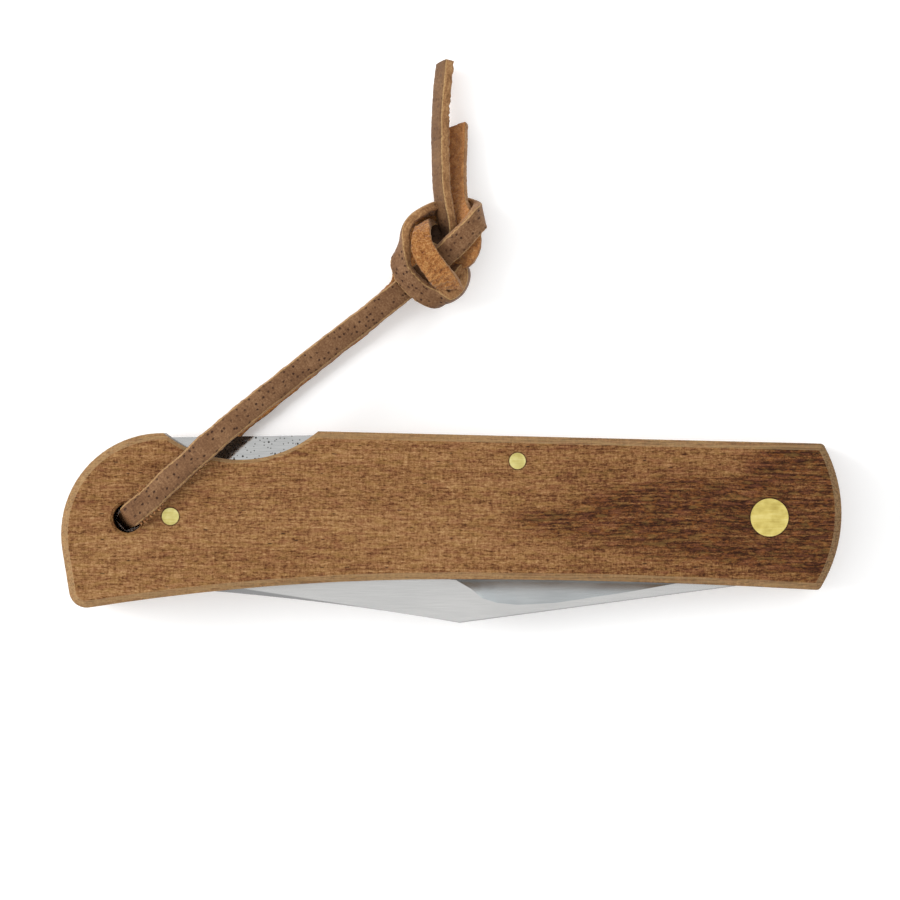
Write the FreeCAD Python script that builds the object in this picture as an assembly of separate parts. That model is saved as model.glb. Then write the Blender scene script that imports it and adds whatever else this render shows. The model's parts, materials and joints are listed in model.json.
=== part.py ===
import FreeCAD, Part
import math
import os

# Folding back-lock pocket knife, shown folded, in millimetres and degrees.
# The frame's origin is the centre of the folded knife's box, without the thong.
# +X runs along the handle towards the pivot, +Y towards the handle's back, +Z out of the front scale.

# Handle outline, seen from the front
handle_length = 110.0
pivot_inset = 10.2
pivot_drop = 12.15
back_slope_deg = 1.4
head_radius = 20.0
head_lift = 0.55
head_round = 0.75
heel_drop = 22.4
waist_inset = 54.8
waist_drop = 20.85
butt_radius = 14.25
butt_centre_drop = 14.5
toe_inset = 1.55
toe_drop = 25.25
toe_round = 2.5
notch_inset = 14.4
notch_length = 21.85
notch_depth = 3.9

# Layers, from the blade outwards
blade_thickness = 2.5
washer_thickness = 0.15
washer_play = 0.02
liner_thickness = 1.0
scale_thickness = 4.5
rim_bevel = 1.0
notch_bevel = 0.5

# Pins and the lanyard hole
pivot_pin_diameter = 5.35
rocker_pin_diameter = 2.3
rear_pin_diameter = 2.4
pin_proud = 0.05
running_play = 0.05
washer_diameter = 9.6
rear_pin_inset = 15.45
rear_pin_drop = 12.0
lanyard_diameter = 4.1
lanyard_inset = 9.4
lanyard_drop = 12.25
lanyard_bevel = 0.4

# Blade, measured from the pivot with the spine along +X and +Y towards the spine
blade_tilt_deg = 7.6
spine_height = 9.07
spine_length = 45.2
blade_reach = 83.0
tip_drop = 0.8
clip_hollow = 0.5
belly_start = 48.0
belly_height = 6.0
heel_reach = 11.5
heel_height = 5.2
ricasso_reach = 9.5
seat_height = 4.8
seat_start = 0.3
tang_radius = 6.2
tang_end_deg = 262.0

# Hollow grind: where its upper limit runs, how thin the edge is and how deep the hollow
grind_start = 12.5
edge_half = 0.12
grind_hollow = 0.22
grind_reach_shares = (0.0, 0.12, 0.27, 0.345, 0.385, 0.412, 0.432, 0.46, 0.53, 0.63, 0.76, 0.9, 1.06)
grind_height_shares = (0.83, 0.87, 0.89, 0.84, 0.765, 0.67, 0.5, 0.33, 0.19, 0.07, 0.0, -0.05, -0.11)

# Lock bar, measured from the pivot along the handle's back
bar_side_play = 0.1
bar_sink = 0.12
bar_end_inset = 0.65
bar_bend_lead = 11.0
bar_dip_deg = 2.2
bar_rear_depth = 4.0
bar_depth = 6.1
belly_half_length = 6.0
relief_reach = 9.0
rocker_reach = 35.66
rocker_depth = 3.5
tooth_front = 1.1
tooth_width = 1.9
tooth_height = 1.3
tooth_play = 0.2
ride_play = 0.1
stop_play = 0.15
lock_drop_deg = 1.6
lock_press_deg = 1.5

# Butt spacer and back spring
spacer_length = 20.0
spacer_shelf_drop = 7.2
spacer_nose_play = 3.5
tip_play = 1.0
bar_end_play = 0.5
spring_thickness = 1.1
spring_root_length = 3.2
spring_drop = 9.4
spring_length = 18.0
spring_play = 0.05

# Leather thong: a flat lace, folded through the lanyard hole and knotted
lace_width = 3.6
lace_thickness = 1.3
lace_play = 0.05
lace_angle_deg = 39.9
lace_shift = 0.15
fold_radius = 1.45
fold_bulge = 0.3
corner_run_share = 0.45
front_route = ((9.0, 0.15), (19.0, 0.6), (34.0, -4.9), (49.0, -10.8), (56.0, -12.2))
rear_route = ((9.0, 0.03), (20.0, -0.1), (34.0, -0.45), (49.0, -1.6), (56.0, -2.8))
knot_centre = (-3.0, 38.4)
knot_width = 11.4
knot_length = 14.6
knot_foot = -7.4
knot_rise = 6.2
knot_hollow = 0.9
over_strap_shares = ((-0.1, 0.31), (0.26, -0.31))
cross_strap_shares = ((0.04, -0.1), (0.68, 0.4))
strap_drop = 3.4
long_tail_route = ((-1.6, 38.6), (-1.4, 44.6), (-2.2, 53.5), (-1.4, 65.6))
short_tail_route = ((0.6, 39.0), (1.5, 44.2), (0.9, 49.6), (1.4, 56.3))
tail_height = -5.5

# One overrun for every cut that has to pass right through, and how near counts as the same corner
overrun = 1.0
same_corner = 0.05

# Worked-out angles, heights and places
back_slope = math.radians(back_slope_deg)
blade_tilt = math.radians(blade_tilt_deg)
peak_drop = spine_length * math.sin(blade_tilt) + spine_height * math.cos(blade_tilt)
butt_x = -handle_length / 2
head_x = handle_length / 2
back_y = (pivot_drop + peak_drop) / 2
channel_half = blade_thickness / 2 + washer_thickness + washer_play
liner_outer = channel_half + liner_thickness
face_z = liner_outer + scale_thickness


def point(x, y, z=0):
    return FreeCAD.Vector(x, y, z)


def turned(vector, angle):
    cosine, sine = math.cos(angle), math.sin(angle)
    return point(vector.x * cosine - vector.y * sine, vector.x * sine + vector.y * cosine, vector.z)


pivot = point(head_x - pivot_inset, back_y - pivot_drop)
rear_pin_place = point(butt_x + rear_pin_inset, back_y - rear_pin_drop)
lanyard_place = point(butt_x + lanyard_inset, back_y - lanyard_drop)
notch_front = point(butt_x + notch_inset + notch_length, back_y)
back_height = pivot_drop * math.cos(back_slope) - (pivot.x - notch_front.x) * math.sin(back_slope)
rocker_offset = point(-rocker_reach, back_height - rocker_depth)
rocker_place = pivot + turned(rocker_offset, -back_slope)
open_deg = 180 - blade_tilt_deg - back_slope_deg


def line(start, end):
    return Part.LineSegment(start, end).toShape()


def arc(start, middle, end):
    return Part.Arc(start, middle, end).toShape()


def closed_path(corners):
    """Straight edges from corner to corner and back to the first."""
    return [line(corners[i - 1], corners[i]) for i in range(len(corners))]


def prism(edges, bottom, top):
    """The area inside the edges, raised from one height to another."""
    face = Part.Face(Part.Wire(Part.__sortEdges__(edges)))
    face.translate(point(0, 0, bottom))
    return face.extrude(point(0, 0, top - bottom))


def rod(place, diameter, bottom, top):
    return Part.makeCylinder(diameter / 2, top - bottom, point(place.x, place.y, bottom))


def on_back(shape):
    """Set a shape that was drawn from the pivot along the handle's back into the knife."""
    shape.rotate(point(0, 0), point(0, 0, 1), -back_slope_deg)
    shape.translate(pivot)
    return shape


def height_on_circle(radius, x):
    return math.sqrt(radius ** 2 - x ** 2)


def waist_arc(end):
    """The handle's lower edge, level at the waist and falling towards one end."""
    run, fall = end.x - waist.x, waist.y - end.y
    radius = (run ** 2 + fall ** 2) / (2 * fall)
    sag = radius - height_on_circle(radius, run / 2)
    return arc(waist, point(waist.x + run / 2, waist.y - sag), end)


# Corners of the handle
butt_centre = point(butt_x + butt_radius, back_y - butt_centre_drop)
notch_rear_x = butt_x + notch_inset
notch_rear = point(notch_rear_x, butt_centre.y + height_on_circle(butt_radius, notch_rear_x - butt_centre.x))
toe = point(butt_x + toe_inset, back_y - toe_drop)
waist = point(butt_x + waist_inset, back_y - waist_drop)
head_centre = point(head_x - head_radius, pivot.y + head_lift)
heel_y = back_y - heel_drop
heel = point(head_centre.x + height_on_circle(head_radius, heel_y - head_centre.y), heel_y)
notch_floor = (notch_front + notch_rear) / 2 - point(0, notch_depth)


def crown_corner():
    """Where the straight back meets the round head."""
    along = point(math.cos(back_slope), -math.sin(back_slope))
    offset = notch_front - head_centre
    half = offset.dot(along)
    reach = math.sqrt(half ** 2 - offset.dot(offset) + head_radius ** 2) - half
    return notch_front + along * reach


def butt_edges():
    """The round butt and the straight side that leaves it towards the toe."""
    to_toe = toe - butt_centre
    swing = math.acos(butt_radius / to_toe.Length)
    end_angle = math.atan2(to_toe.y, to_toe.x) - swing
    start_angle = math.atan2(notch_rear.y - butt_centre.y, notch_rear.x - butt_centre.x)
    middle_angle = (start_angle + end_angle % (2 * math.pi)) / 2
    radius = point(butt_radius, 0)
    side = butt_centre + turned(radius, end_angle)
    return [arc(notch_rear, butt_centre + turned(radius, middle_angle), side), line(side, toe)]


def handle_edges():
    crown = crown_corner()
    return butt_edges() + [
        waist_arc(toe),
        waist_arc(heel),
        arc(heel, point(head_x, head_centre.y), crown),
        line(crown, notch_front),
        arc(notch_front, notch_floor, notch_rear),
    ]


def edges_at(shape, corner):
    """The upright edges of a prism over one corner of its outline."""
    def over(vertex):
        return math.hypot(vertex.X - corner.x, vertex.Y - corner.y) < same_corner
    return [edge for edge in shape.Edges if all(over(vertex) for vertex in edge.Vertexes)]


def handle_plate(bottom, top):
    """The handle's outline as a plate, with the head's two corners left sharp."""
    plate = prism(handle_edges(), bottom, top)
    return plate.makeFillet(toe_round, edges_at(plate, toe))


def rounded_plate(bottom, top):
    plate = handle_plate(bottom, top)
    return plate.makeFillet(head_round, edges_at(plate, crown_corner()) + edges_at(plate, heel))


def rim_edges(plate, top):
    """The edges round a plate's upper face, without the thumb notch's."""
    face = max(plate.Faces, key=lambda side: side.CenterOfMass.z)
    notch_middle = notch_floor + point(0, 0, top)
    def beside(edge):
        return edge.valueAt((edge.FirstParameter + edge.LastParameter) / 2).distanceToPoint(notch_middle)
    return [edge for edge in face.OuterWire.Edges if beside(edge) > same_corner]


def bevel_cone(place, radius, bevel):
    """What a bevel takes off the front face round an upright round edge."""
    rise = bevel + overrun
    return Part.makeCone(radius, radius + rise, rise, point(place.x, place.y, face_z - bevel))


def pin_holes(bottom, top):
    low, high = bottom - overrun, top + overrun
    return [
        rod(pivot, pivot_pin_diameter, low, high),
        rod(rocker_place, rocker_pin_diameter, low, high),
        rod(rear_pin_place, rear_pin_diameter, low, high),
        rod(lanyard_place, lanyard_diameter, low, high),
    ]


def drilled(plate, bottom, top):
    for hole in pin_holes(bottom, top):
        plate = plate.cut(hole)
    return plate


def scale():
    """The front scale: bevelled rim, drilled, with smaller bevels at the notch and the lanyard hole."""
    plate = handle_plate(liner_outer, face_z)
    plate = plate.makeChamfer(rim_bevel, rim_edges(plate, face_z))
    plate = plate.common(rounded_plate(liner_outer, face_z))
    notch = arc(notch_front, notch_floor, notch_rear).Curve
    plate = plate.cut(bevel_cone(notch.Center, notch.Radius, notch_bevel))
    plate = drilled(plate, liner_outer, face_z)
    return plate.cut(bevel_cone(lanyard_place, lanyard_diameter / 2, lanyard_bevel))


def liner():
    return drilled(rounded_plate(channel_half, liner_outer), channel_half, liner_outer)


def mirrored(shape):
    return shape.mirror(point(0, 0), point(0, 0, 1))


def pin(place, diameter):
    reach = face_z + pin_proud
    return rod(place, diameter, -reach, reach)


def washer():
    bottom = channel_half - washer_thickness
    ring = rod(pivot, washer_diameter, bottom, channel_half)
    bore_diameter = pivot_pin_diameter + 2 * running_play
    return ring.cut(rod(pivot, bore_diameter, bottom - overrun, channel_half + overrun))


# Blade outline, in its own open frame
tip = point(blade_reach, -tip_drop)
peak = point(spine_length, spine_height)
belly = point(belly_start, -belly_height)
blade_heel = point(heel_reach, -heel_height)
tooth_radius = tang_radius + ride_play
tooth_rear = tooth_front + tooth_width
lock_drop = (rocker_reach - tooth_front) * math.sin(math.radians(lock_drop_deg))


def belly_circle():
    """Radius and centre of the belly's curve, which runs on smoothly from the edge to the tip."""
    along = belly - blade_heel
    normal = point(-along.y, along.x) / along.Length
    chord = tip - belly
    radius = chord.dot(chord) / (2 * chord.dot(normal))
    return radius, belly + normal * radius


def folded(place):
    """Where a place on the blade lies with the blade folded in."""
    return pivot + turned(place, math.pi + blade_tilt)


def edge_height(x):
    """Height of the cutting edge at a distance from the pivot."""
    if x <= belly_start:
        return belly.y + (blade_heel.y - belly.y) * (belly.x - x) / (belly.x - blade_heel.x)
    radius, centre = belly_circle()
    return centre.y - height_on_circle(radius, x - centre.x)


def blade_edges():
    clip = tip - peak
    clip_middle = (peak + tip) / 2 + point(clip.y, -clip.x) / clip.Length * clip_hollow
    belly_middle_x = (belly.x + tip.x) / 2
    shoulder_x = stop_play - tooth_front
    notch_x = -tooth_rear - tooth_play
    notch_fall = lock_drop + tooth_play
    notch_front_floor = point(shoulder_x, height_on_circle(tooth_radius, shoulder_x) - notch_fall)
    notch_rear_floor = point(notch_x, height_on_circle(tooth_radius, notch_x) - notch_fall)
    notch_lip = point(notch_x, height_on_circle(tang_radius, notch_x))
    tang_end = turned(point(tang_radius, 0), math.radians(tang_end_deg))
    seat = point(-seat_start, -seat_height)
    ricasso = point(ricasso_reach, -seat_height)
    shoulder = point(shoulder_x, spine_height)
    return [
        line(shoulder, peak),
        arc(peak, clip_middle, tip),
        arc(tip, point(belly_middle_x, edge_height(belly_middle_x)), belly),
        line(belly, blade_heel),
        line(blade_heel, ricasso),
        line(ricasso, seat),
        line(seat, tang_end),
        arc(tang_end, point(-tang_radius, 0), notch_lip),
        line(notch_lip, notch_rear_floor),
        line(notch_rear_floor, notch_front_floor),
        line(notch_front_floor, shoulder),
    ]


def grind_section(x, top):
    """Outline of the steel that the wheel takes off at one place, from the grind's limit to the edge."""
    bottom = edge_height(min(x, blade_reach))
    half = blade_thickness / 2
    upper = point(x, max(top, bottom + edge_half), half)
    lower = point(x, bottom, edge_half)
    hollow = grind_hollow * (upper.y - lower.y) / (spine_height + belly_height)
    middle = (upper + lower) / 2 - point(0, 0, hollow)
    outer_low = point(x, bottom - overrun, edge_half)
    outer_high = point(x, bottom - overrun, half + overrun)
    outer_top = point(x, upper.y, half + overrun)
    return Part.Wire([
        arc(upper, middle, lower),
        line(lower, outer_low),
        line(outer_low, outer_high),
        line(outer_high, outer_top),
        line(outer_top, upper),
    ])


def grind():
    span = blade_reach - grind_start
    sections = []
    for reach_share, height_share in zip(grind_reach_shares, grind_height_shares):
        sections.append(grind_section(grind_start + span * reach_share, spine_height * height_share))
    return Part.makeLoft(sections, True, True)


def blade():
    half = blade_thickness / 2
    body = prism(blade_edges(), -half, half)
    wheel = grind()
    body = body.cut(wheel).cut(mirrored(wheel))
    body = body.cut(rod(point(0, 0), pivot_pin_diameter + 2 * running_play, -half - overrun, half + overrun))
    body.rotate(point(0, 0), point(0, 0, 1), 180 + blade_tilt_deg)
    body.translate(pivot)
    return body


# Lock bar outline, drawn from the pivot along the back
bar_reach = pivot.x - notch_rear.x - bar_end_inset
bar_bend_reach = pivot.x - notch_front.x - bar_bend_lead
bar_top = back_height - bar_sink
bar_dip = (bar_reach - bar_bend_reach) * math.tan(math.radians(bar_dip_deg))
bar_rear_top = point(-bar_reach, bar_top - bar_dip)
bar_rear_foot = bar_rear_top - point(0, bar_rear_depth)
bar_belly_rear = point(-rocker_reach - belly_half_length, bar_top - bar_depth)


def lock_bar():
    half = channel_half - bar_side_play
    tooth_corner = point(-tooth_rear, height_on_circle(tooth_radius, tooth_rear))
    tooth_toe = point(-tooth_front, height_on_circle(tooth_radius, tooth_front))
    tooth_middle_x = (tooth_corner.x + tooth_toe.x) / 2
    tooth_middle = point(tooth_middle_x, height_on_circle(tooth_radius, tooth_middle_x))
    relief_y = tooth_corner.y + tooth_height
    corners = [
        tooth_toe,
        point(-tooth_front, bar_top),
        point(-bar_bend_reach, bar_top),
        bar_rear_top,
        bar_rear_foot,
        bar_belly_rear,
        point(belly_half_length - rocker_reach, bar_belly_rear.y),
        point(-relief_reach, relief_y),
        point(-tooth_rear, relief_y),
        tooth_corner,
    ]
    edges = closed_path(corners)[1:] + [arc(tooth_corner, tooth_middle, tooth_toe)]
    bar = prism(edges, -half, half)
    bore = rod(rocker_offset, rocker_pin_diameter + 2 * running_play, -half - overrun, half + overrun)
    return on_back(bar.cut(bore))


# Back spring: gripped by the spacer, curving up to the underside of the lock bar
spacer_front = butt_x + spacer_length
spring_y = back_y - spring_drop
spring_root = point(spacer_front, spring_y)
spring_contact_reach = pivot.x - spacer_front - spring_length


def spring_contact():
    """The place under the lock bar that the spring's end bears on."""
    share = (spring_contact_reach + bar_belly_rear.x) / (bar_belly_rear.x - bar_rear_foot.x)
    height = bar_belly_rear.y + (bar_rear_foot.y - bar_belly_rear.y) * share
    return pivot + turned(point(-spring_contact_reach, height - spring_play), -back_slope)


def back_spring():
    half = channel_half - bar_side_play
    thick = spring_thickness / 2
    upper_root = spring_root + point(0, thick)
    reach = spring_contact() - upper_root
    upper_radius = (reach.x ** 2 + reach.y ** 2) / (2 * reach.y)
    lower_radius = upper_radius + spring_thickness
    centre = upper_root + point(0, upper_radius)
    sweep = math.asin(reach.x / upper_radius)

    def on_leaf(radius, angle):
        return centre + turned(point(0, -radius), angle)

    root_end = spring_root - point(spring_root_length, 0)
    edges = [
        line(root_end + point(0, thick), upper_root),
        arc(upper_root, on_leaf(upper_radius, sweep / 2), on_leaf(upper_radius, sweep)),
        line(on_leaf(upper_radius, sweep), on_leaf(lower_radius, sweep)),
        arc(on_leaf(lower_radius, sweep), on_leaf(lower_radius, sweep / 2), on_leaf(lower_radius, 0)),
        line(spring_root - point(0, thick), root_end - point(0, thick)),
        line(root_end - point(0, thick), root_end + point(0, thick)),
    ]
    return prism(edges, -half, half)


def butt_spacer():
    """Fills the butt between the liners, with a shelf under the lock bar's end and a slot for the spring."""
    bar_end = pivot + turned(bar_rear_top, -back_slope)
    shoulder_x = bar_end.x - bar_end_play
    shelf_y = back_y - spacer_shelf_drop
    tip_place = folded(tip)
    edge_reach = min(pivot.x - spacer_front, blade_reach)
    edge_place = folded(point(edge_reach, edge_height(edge_reach)))
    corners = [
        point(butt_x - overrun, toe.y - overrun),
        point(tip_place.x - tip_play, toe.y - overrun),
        point(tip_place.x - tip_play, tip_place.y),
        point(spacer_front, edge_place.y + spacer_nose_play),
        point(spacer_front, shelf_y),
        point(shoulder_x, shelf_y),
        point(shoulder_x, back_y + overrun),
        point(butt_x - overrun, back_y + overrun),
    ]
    region = prism(closed_path(corners), -channel_half, channel_half)
    spacer = handle_plate(-channel_half, channel_half).common(region)
    slot_corner = spring_root - point(spring_root_length, spring_thickness / 2)
    slot = Part.makeBox(
        spring_root_length + overrun,
        spring_thickness,
        2 * (channel_half + overrun),
        point(slot_corner.x, slot_corner.y, -channel_half - overrun),
    )
    spacer = spacer.cut(slot)
    for hole in pin_holes(-channel_half, channel_half):
        spacer = spacer.cut(hole)
    return spacer


def bends(route):
    """Each corner of a lace's route with its turn and its radius, as large as its two runs allow."""
    found = []
    for before, corner, after in zip(route, route[1:], route[2:]):
        inward, outward = corner - before, after - corner
        turn = math.atan2(inward.x * outward.y - inward.y * outward.x, inward.dot(outward))
        run = min(inward.Length, outward.Length)
        radius = corner_run_share * run / math.tan(abs(turn) / 2)
        found.append((corner, inward / inward.Length, outward / outward.Length, turn, radius))
    return found


def lace_side(route, first_radius, offset):
    """One long side of a lace's outline: straight runs joined by tangent arcs."""
    edges = []
    first_run = route[1] - route[0]
    cursor = route[0] + turned(first_run / first_run.Length, math.pi / 2) * offset
    for place, (corner, inward, outward, turn, radius) in enumerate(bends(route)):
        if first_radius and place == 0:
            radius = first_radius
        back_off = radius * math.tan(abs(turn) / 2)
        side = math.copysign(1, turn)
        start = corner - inward * back_off
        centre = start + turned(inward, math.pi / 2) * side * radius
        reach = (start - centre) * ((radius - side * offset) / radius)
        arc_start = centre + reach
        arc_end = centre + turned(reach, turn)
        edges.append(line(cursor, arc_start))
        edges.append(arc(arc_start, centre + turned(reach, turn / 2), arc_end))
        cursor = arc_end
    last_run = route[-1] - route[-2]
    end = route[-1] + turned(last_run / last_run.Length, math.pi / 2) * offset
    edges.append(line(cursor, end))
    return edges


def lace(name, route, first_radius):
    """A flat lace seen edge on, following a route of straight runs and arcs."""
    radii = [radius for corner, inward, outward, turn, radius in bends(route)]
    if first_radius:
        radii[0] = first_radius
    print(name, "bend radii", ", ".join("%.1f" % radius for radius in radii))
    left = lace_side(route, first_radius, lace_thickness / 2)
    right = lace_side(route, first_radius, -lace_thickness / 2)
    caps = []
    for end in (0, -1):
        caps.append(line(left[end].Vertexes[end].Point, right[end].Vertexes[end].Point))
    return prism(left + right + caps, -lace_width / 2, lace_width / 2)


def strand(name, way, route, tied):
    """A strand from the middle of the lanyard hole, out of one face and along to the knot."""
    lie = face_z + lace_thickness / 2 + lace_play
    places = [point(lace_shift, 0), point(lace_shift, way * (lie + fold_bulge))]
    for reach, rise in route:
        places.append(point(reach, way * (lie + rise)))
    shape = lace(name, places, fold_radius)
    shape.rotate(point(0, 0), point(1, 0), 90)
    shape.rotate(point(0, 0), point(0, 0, 1), lace_angle_deg)
    shape.translate(lanyard_place)
    return shape.cut(tied)


def tail(name, route, tied):
    """A free end, standing on its edge."""
    places = [point(x, y) for x, y in route]
    shape = lace(name, places, 0)
    shape.translate(point(0, 0, tail_height))
    return shape.cut(tied)


def knot_oval(inset, bottom, top):
    """The knot's oval ring seen from above, drawn in by an inset."""
    long_half, short_half = knot_length / 2 - inset, knot_width / 2 - inset
    oval = Part.Ellipse(point(0, long_half), point(short_half, 0), point(0, 0)).toShape()
    oval.translate(point(*knot_centre))
    return prism([oval], bottom, top)


def strap(name, shares, height):
    """A turn of lace laid over the knot from one place to another, bent down where it leaves the top."""
    ends = [point(knot_centre[0] + x * knot_width, knot_centre[1] + y * knot_length) for x, y in shares]
    run = ends[1] - ends[0]
    places = [point(0, -strap_drop), point(0, 0), point(run.Length, 0), point(run.Length, -strap_drop)]
    shape = lace(name, places, 0)
    shape.rotate(point(0, 0), point(1, 0), 90)
    shape.rotate(point(0, 0), point(0, 0, 1), math.degrees(math.atan2(run.y, run.x)))
    shape.translate(ends[0] + point(0, 0, height))
    return shape


def knot():
    """The overhand knot: a ring of lace round a packed middle, and two turns that cross over its top."""
    ring_top = knot_foot + knot_rise
    oval = knot_oval(0, knot_foot, ring_top)
    oval = oval.cut(knot_oval(lace_thickness, ring_top - knot_hollow, ring_top + overrun))
    lie = ring_top + lace_thickness / 2
    cross = strap("cross strap", cross_strap_shares, lie - knot_hollow / 2)
    over = strap("over strap", over_strap_shares, lie + knot_hollow / 2)
    return oval.fuse([cross, over]).removeSplitter()


def build():
    front_scale = scale()
    front_liner = liner()
    front_washer = washer()
    tied = knot()
    return {
        "front_scale": front_scale,
        "rear_scale": mirrored(front_scale),
        "front_liner": front_liner,
        "rear_liner": mirrored(front_liner),
        "blade": blade(),
        "lock_bar": lock_bar(),
        "back_spring": back_spring(),
        "butt_spacer": butt_spacer(),
        "pivot_pin": pin(pivot, pivot_pin_diameter),
        "rocker_pin": pin(rocker_place, rocker_pin_diameter),
        "rear_pin": pin(rear_pin_place, rear_pin_diameter),
        "front_pivot_washer": front_washer,
        "rear_pivot_washer": mirrored(front_washer),
        "thong_front_strand": strand("thong_front_strand", 1, front_route, tied),
        "thong_rear_strand": strand("thong_rear_strand", -1, rear_route, tied),
        "thong_knot": tied,
        "thong_long_tail": tail("thong_long_tail", long_tail_route, tied),
        "thong_short_tail": tail("thong_short_tail", short_tail_route, tied),
    }


os.makedirs("parts", exist_ok=True)
for node, shape in build().items():
    shape.exportStep("parts/" + node + ".step")
    print(node, shape.ShapeType, shape.isValid(), "volume %.2f" % shape.Volume, "solids", len(shape.Solids))

print("pivot", tuple(pivot), "rocker", tuple(rocker_place))
print("blade opens to", open_deg, "lock bar from", -lock_drop_deg, "to", lock_press_deg)
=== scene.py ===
import json
import math

import bmesh
import bpy
import numpy as np
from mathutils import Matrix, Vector, noise


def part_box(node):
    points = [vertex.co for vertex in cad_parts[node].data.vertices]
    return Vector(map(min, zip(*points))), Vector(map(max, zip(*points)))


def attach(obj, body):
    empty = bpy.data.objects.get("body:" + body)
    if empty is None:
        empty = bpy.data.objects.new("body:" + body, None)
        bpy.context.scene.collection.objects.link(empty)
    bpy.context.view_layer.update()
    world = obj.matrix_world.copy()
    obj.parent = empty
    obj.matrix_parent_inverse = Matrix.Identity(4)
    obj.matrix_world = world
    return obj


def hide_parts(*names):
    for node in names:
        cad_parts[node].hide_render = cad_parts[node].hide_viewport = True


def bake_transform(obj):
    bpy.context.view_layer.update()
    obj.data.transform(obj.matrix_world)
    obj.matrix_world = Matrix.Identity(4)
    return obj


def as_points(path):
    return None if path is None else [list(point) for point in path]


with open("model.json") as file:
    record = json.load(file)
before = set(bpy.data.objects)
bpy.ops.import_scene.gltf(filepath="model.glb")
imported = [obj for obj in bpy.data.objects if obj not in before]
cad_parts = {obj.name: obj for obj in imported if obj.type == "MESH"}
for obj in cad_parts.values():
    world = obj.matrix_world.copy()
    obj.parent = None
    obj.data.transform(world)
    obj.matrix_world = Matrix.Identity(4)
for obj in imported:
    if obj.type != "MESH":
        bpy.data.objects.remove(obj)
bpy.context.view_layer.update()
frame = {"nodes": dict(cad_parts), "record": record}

# Lengths are in millimetres, and times MM where they go to Blender, which counts in metres
MM = 0.001
SCENE = bpy.context.scene


def add_object(name, data):
    """A new object in the scene."""
    item = bpy.data.objects.new(name, data)
    SCENE.collection.objects.link(item)
    return item


# Camera, straight above the front scale

VIEW_HEIGHT = 1000.0
FACE_Z = 6.92
VIEW_CENTRE = (-0.183, 10.912)
VIEW_WIDTH = 126.7
SENSOR = 36.0


def make_camera():
    """A long lens, so that the view is nearly parallel."""
    lens = bpy.data.cameras.new("camera")
    lens.sensor_width = SENSOR
    lens.lens = SENSOR * VIEW_HEIGHT / VIEW_WIDTH
    camera = add_object("camera", lens)
    camera.location = (VIEW_CENTRE[0] * MM, VIEW_CENTRE[1] * MM, (FACE_Z + VIEW_HEIGHT) * MM)
    SCENE.camera = camera


make_camera()


# The leather lace: its line, and which way its grain side faces

HOLE = (-45.6, 1.31)
LACE_BEARING = math.radians(39.9)
AHEAD = (math.cos(LACE_BEARING), math.sin(LACE_BEARING))


def along(reach, z, bow=0.0):
    """A place on the strand's line from the hole to the knot, bowed to its left."""
    return (
        HOLE[0] + AHEAD[0] * reach - AHEAD[1] * bow,
        HOLE[1] + AHEAD[1] * reach + AHEAD[0] * bow,
        z)


def stop(place, facing, width=1.0):
    """A point of the lace's route, the way its grain side faces there, and its share of the full width."""
    return place, facing, width


BACK = (-AHEAD[0], -AHEAD[1], 0)
BACK_UP = (-AHEAD[0], -AHEAD[1], 1)
BACK_DOWN = (-AHEAD[0], -AHEAD[1], -1)
UP = (0, 0, 1)
DOWN = (0, 0, -1)
TAIL_FACE = (-0.88, 0, 0.475)
SHORT_FACE = (0.5, 0, -0.86)

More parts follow.
